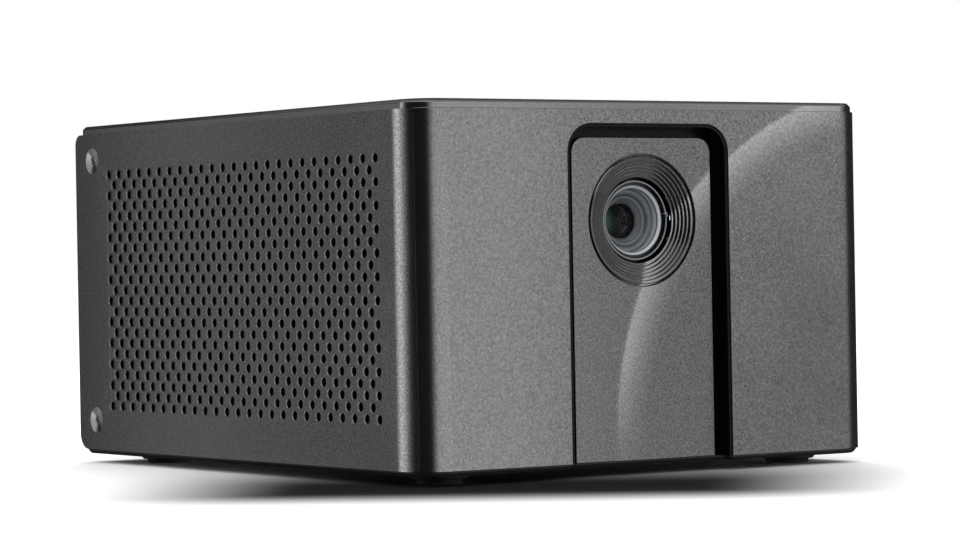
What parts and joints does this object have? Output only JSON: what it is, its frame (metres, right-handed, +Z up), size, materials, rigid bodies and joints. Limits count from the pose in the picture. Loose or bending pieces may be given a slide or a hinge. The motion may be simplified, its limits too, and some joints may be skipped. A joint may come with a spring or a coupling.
{
  "type": "projector",
  "caption": "Compact desktop projector: perforated metal casing, stepped lens hood in a gloss-lined recess, turning focus ring, top keys, rear sockets and rubber feet.",
  "frame": {"origin": "middle of the bounding box in plan, at the level the feet stand on", "axes": "+X to the right seen from the front, -Y out of the front face with the lens, +Z up"},
  "size_m": [0.1448, 0.1814, 0.0973],
  "materials": {
    "casing_metal": "bead-blasted and anodised dark grey",
    "rear_black": "fine matt texture",
    "window_black": "polished, passes infrared",
    "circuit_board": "solder mask",
    "base_black": "matt",
    "foot_rubber": "soft black rubber",
    "socket_brass": "turned",
    "post_steel": "zinc plated",
    "groove_gloss": "polished black",
    "hood_metal": "satin dark grey, bright turned edges",
    "engine_casting": "die cast",
    "pipe_copper": "plain copper",
    "fin_metal": "mill finish",
    "fan_plastic": "matt black",
    "chip_black": "moulded",
    "socket_plastic": "moulded black",
    "socket_shell": "tin plated sheet",
    "speaker_plastic": "moulded black",
    "speaker_cone": "pressed cone",
    "filter_mesh": "fine black mesh",
    "ring_metal": "satin grey",
    "barrel_metal": "satin blue grey",
    "lens_glass": "coated",
    "baffle_black": "matt, stepped",
    "key_metal": "bead-blasted and anodised dark grey"
  },
  "bodies": {
    "chassis": {"front_shell": "casing_metal", "left_side_panel": "casing_metal", "right_side_panel": "casing_metal", "rear_panel": "rear_black", "ir_window": "window_black", "top_cover": "casing_metal", "key_board": "circuit_board", "bottom_cover": "base_black", "rubber_feet": "foot_rubber", "tripod_socket": "socket_brass", "corner_posts": "post_steel", "groove_liner": "groove_gloss", "lens_panel": "casing_metal", "lens_hood": "hood_metal", "lens_mount": "engine_casting", "engine_housing": "engine_casting", "led_module": "circuit_board", "cold_plate": "pipe_copper", "heat_pipes": "pipe_copper", "fin_stack": "fin_metal", "fan_frame": "fan_plastic", "dmd_board": "circuit_board", "dmd_heatsink": "fin_metal", "engine_bracket": "post_steel", "driver_board": "circuit_board", "main_board": "circuit_board", "board_chips": "chip_black", "dc_socket": "socket_plastic", "lan_socket": "socket_shell", "usb_sockets": "socket_shell", "hdmi_socket": "socket_shell", "audio_socket": "socket_plastic", "speaker_box_left": "speaker_plastic", "speaker_box_right": "speaker_plastic", "speaker_driver_left": "speaker_cone", "speaker_driver_right": "speaker_cone", "dust_filter_left": "filter_mesh", "dust_filter_right": "filter_mesh"},
    "focus_ring_body": {"focus_ring": "ring_metal"},
    "lens_group": {"lens_barrel": "barrel_metal", "front_lens": "lens_glass", "rear_lens": "lens_glass", "lens_baffle": "baffle_black"},
    "fan_rotor_body": {"fan_rotor": "fan_plastic"},
    "power_key_body": {"power_key": "key_metal"},
    "source_key_body": {"source_key": "key_metal"},
    "minus_key_body": {"minus_key": "key_metal"},
    "plus_key_body": {"plus_key": "key_metal"}
  },
  "joints": [
    {"name": "focus_turn", "type": "hinge", "parent": "chassis", "child": "focus_ring_body", "pos_m": [-0.0009, -0.0803, 0.066], "axis": [0, 1, 0], "range_deg": [-30, 30]},
    {"name": "lens_slide", "type": "slide", "parent": "chassis", "child": "lens_group", "axis": [0, 1, 0], "range_m": [-0.00065, 0.00065]},
    {"name": "fan_spin", "type": "hinge", "parent": "chassis", "child": "fan_rotor_body", "pos_m": [0.0542, 0.04, 0.059], "axis": [1, 0, 0], "continuous": true},
    {"name": "power_press", "type": "slide", "parent": "chassis", "child": "power_key_body", "axis": [0, 0, 1], "range_m": [-0.0005, 0], "stiffness_N_per_m": 800},
    {"name": "source_press", "type": "slide", "parent": "chassis", "child": "source_key_body", "axis": [0, 0, 1], "range_m": [-0.0005, 0], "stiffness_N_per_m": 800},
    {"name": "minus_press", "type": "slide", "parent": "chassis", "child": "minus_key_body", "axis": [0, 0, 1], "range_m": [-0.0005, 0], "stiffness_N_per_m": 800},
    {"name": "plus_press", "type": "slide", "parent": "chassis", "child": "plus_key_body", "axis": [0, 0, 1], "range_m": [-0.0005, 0], "stiffness_N_per_m": 800}
  ],
  "couplings": [
    {"joint": "lens_slide", "follows": "focus_turn", "m_per_rad": 0.0012}
  ]
}
